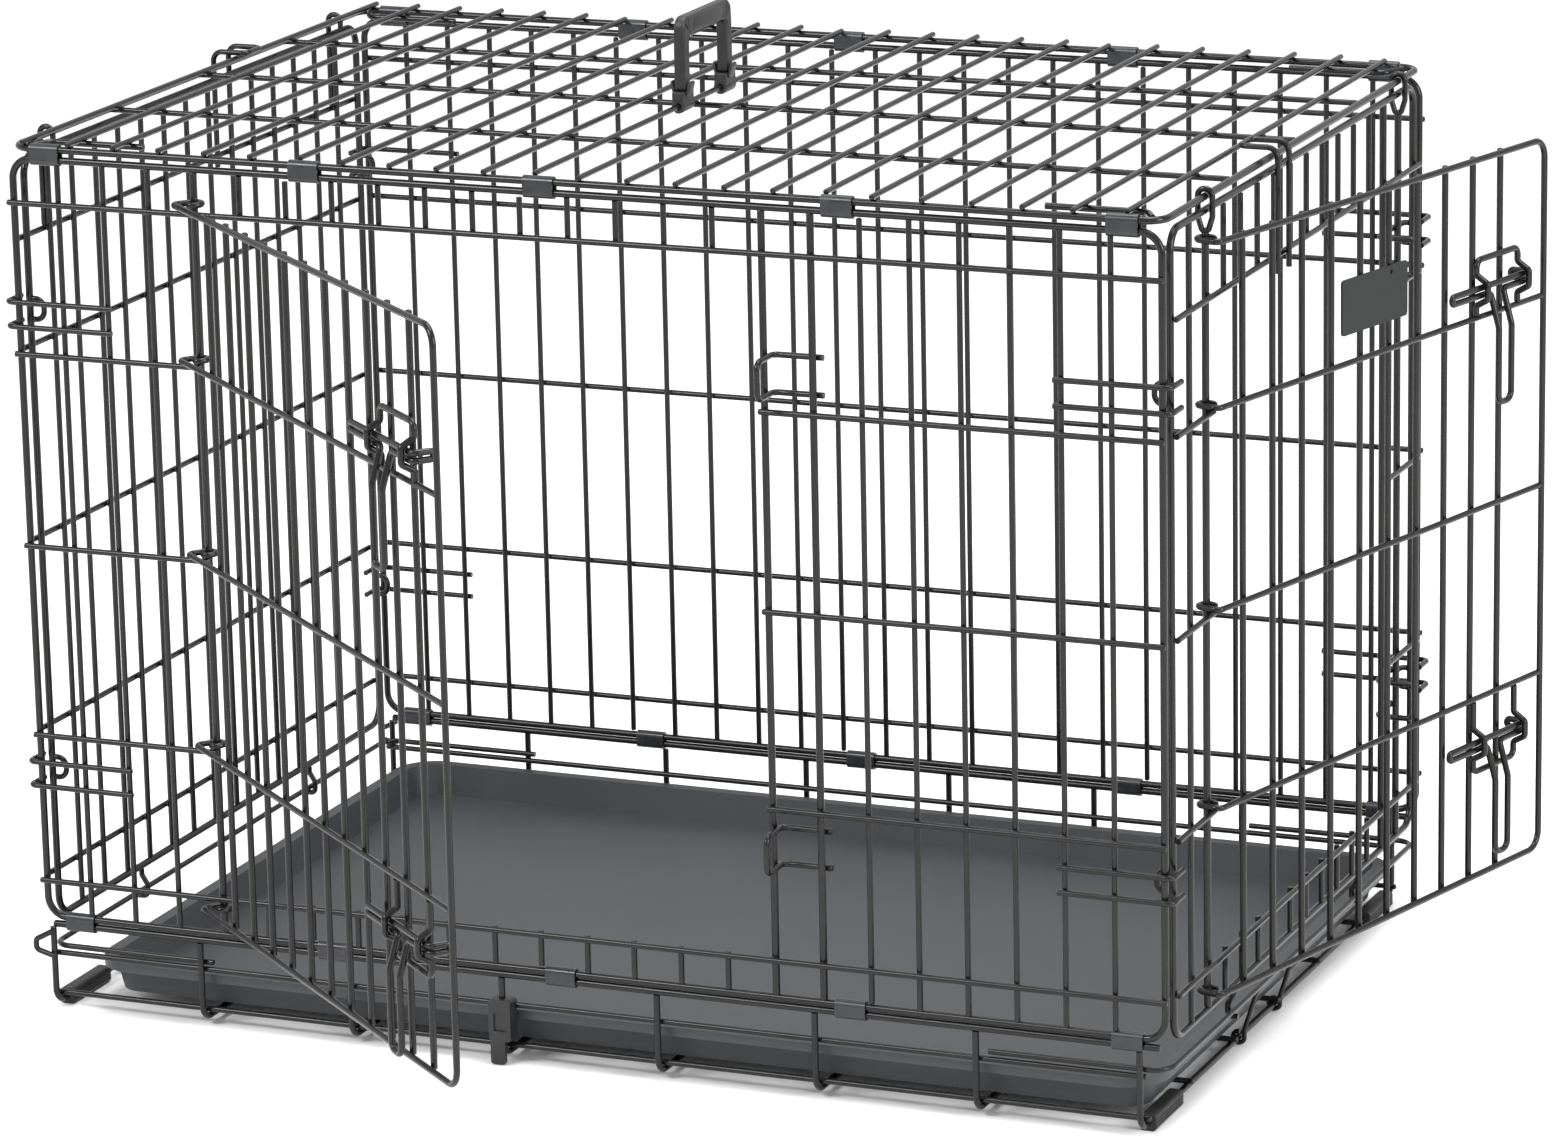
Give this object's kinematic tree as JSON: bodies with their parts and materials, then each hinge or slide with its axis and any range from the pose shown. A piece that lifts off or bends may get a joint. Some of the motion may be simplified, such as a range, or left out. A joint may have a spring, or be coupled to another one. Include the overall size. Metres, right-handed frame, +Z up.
{
  "type": "wire dog crate",
  "caption": "Folding wire dog crate with a side door and an end door, slide-bolt latches, a pull-out pan and a top carrying handle.",
  "frame": {"origin": "middle of the whole object's floor rectangle (doors half open as they rest), on the floor", "axes": "+X along the crate towards the end door, +Y towards the back panel, +Z up"},
  "size_m": [1.0576, 0.9382, 0.755],
  "materials": {
    "coated_wire": "gloss",
    "pan_plastic": "satin",
    "foot_plastic": "satin",
    "clip_plastic": "satin",
    "handle_plastic": "satin",
    "plate": "matte"
  },
  "bodies": {
    "cage": {"back_panel_bars": "coated_wire", "back_panel_frame": "coated_wire", "back_panel_keepers": "coated_wire", "back_panel_rails": "coated_wire", "base_back_clips": "coated_wire", "base_corner_lugs": "coated_wire", "base_cross_wires": "coated_wire", "base_end_rails": "coated_wire", "base_feet": "foot_plastic", "base_floor_wires": "coated_wire", "base_front_clips": "coated_wire", "base_lock_clip": "clip_plastic", "base_mid_rails": "coated_wire", "base_top_rails": "coated_wire", "front_door_strikes": "coated_wire", "front_panel_bars": "coated_wire", "front_panel_frame": "coated_wire", "front_panel_keepers": "coated_wire", "front_panel_rails": "coated_wire", "roof_back_clips": "coated_wire", "roof_corner_braces": "coated_wire", "roof_cross_wires": "coated_wire", "roof_frame": "coated_wire", "roof_front_clips": "coated_wire", "roof_long_wires": "coated_wire"},
    "left_end_panel": {"left_end_bars": "coated_wire", "left_end_bottom_hooks": "coated_wire", "left_end_finger_loop": "coated_wire", "left_end_frame": "coated_wire", "left_end_hinge_hooks": "coated_wire", "left_end_rails": "coated_wire", "left_end_side_loops": "coated_wire"},
    "right_end_panel": {"right_end_bars": "coated_wire", "right_end_bottom_hooks": "coated_wire", "right_end_finger_loop": "coated_wire", "right_end_frame": "coated_wire", "right_end_hinge_loops": "coated_wire", "right_end_rails": "coated_wire", "right_end_side_loops": "coated_wire", "end_door_strikes": "coated_wire"},
    "front_door": {"front_door_frame": "coated_wire", "front_door_rails": "coated_wire", "front_door_bars": "coated_wire", "front_door_latch_brackets": "coated_wire"},
    "front_upper_bolt": {"front_door_upper_bolt": "coated_wire"},
    "front_lower_bolt": {"front_door_lower_bolt": "coated_wire"},
    "end_door": {"end_door_frame": "coated_wire", "end_door_rails": "coated_wire", "end_door_bars": "coated_wire", "end_door_latch_brackets": "coated_wire", "end_door_name_plate": "plate"},
    "end_upper_bolt": {"end_door_upper_bolt": "coated_wire"},
    "end_lower_bolt": {"end_door_lower_bolt": "coated_wire"},
    "handle": {"handle_grip": "handle_plastic", "handle_clips": "handle_plastic"},
    "pan": {"pan": "pan_plastic"},
    "pan_gate": {"pan_gate": "coated_wire"}
  },
  "joints": [
    {"name": "left_panel_fold", "type": "hinge", "parent": "cage", "child": "left_end_panel", "pos_m": [-0.5166, 0.15914, 0.682], "axis": [0, -1, 0], "range_deg": [0, 60]},
    {"name": "right_panel_fold", "type": "hinge", "parent": "cage", "child": "right_end_panel", "pos_m": [0.3978, 0.15914, 0.682], "axis": [0, 1, 0], "range_deg": [0, 45]},
    {"name": "front_door_swing", "type": "hinge", "parent": "cage", "child": "front_door", "pos_m": [-0.3642, -0.14336, 0.3738], "axis": [0, 0, -1], "range_deg": [-41, 99]},
    {"name": "end_door_swing", "type": "hinge", "parent": "right_end_panel", "child": "end_door", "pos_m": [0.3978, -0.05041, 0.3738], "axis": [0, 0, 1], "range_deg": [-95, 15]},
    {"name": "front_upper_bolt_slide", "type": "slide", "parent": "front_door", "child": "front_upper_bolt", "axis": [0.7547, -0.6561, 0], "range_m": [0, 0.02]},
    {"name": "front_lower_bolt_slide", "type": "slide", "parent": "front_door", "child": "front_lower_bolt", "axis": [0.7547, -0.6561, 0], "range_m": [0, 0.02]},
    {"name": "end_upper_bolt_slide", "type": "slide", "parent": "end_door", "child": "end_upper_bolt", "axis": [0.2588, 0.9659, 0], "range_m": [0, 0.02]},
    {"name": "end_lower_bolt_slide", "type": "slide", "parent": "end_door", "child": "end_lower_bolt", "axis": [0.2588, 0.9659, 0], "range_m": [0, 0.02]},
    {"name": "handle_tilt", "type": "hinge", "parent": "cage", "child": "handle", "pos_m": [-0.0865, 0.17514, 0.68702], "axis": [0, 1, 0], "range_deg": [-70, 70]},
    {"name": "pan_slide", "type": "slide", "parent": "cage", "child": "pan", "axis": [-1, 0, 0], "range_m": [0, 0.4]},
    {"name": "pan_gate_swing", "type": "hinge", "parent": "cage", "child": "pan_gate", "pos_m": [0.3777, 0.12164, 0.0065], "axis": [0, 1, 0], "range_deg": [0, 60]}
  ]
}
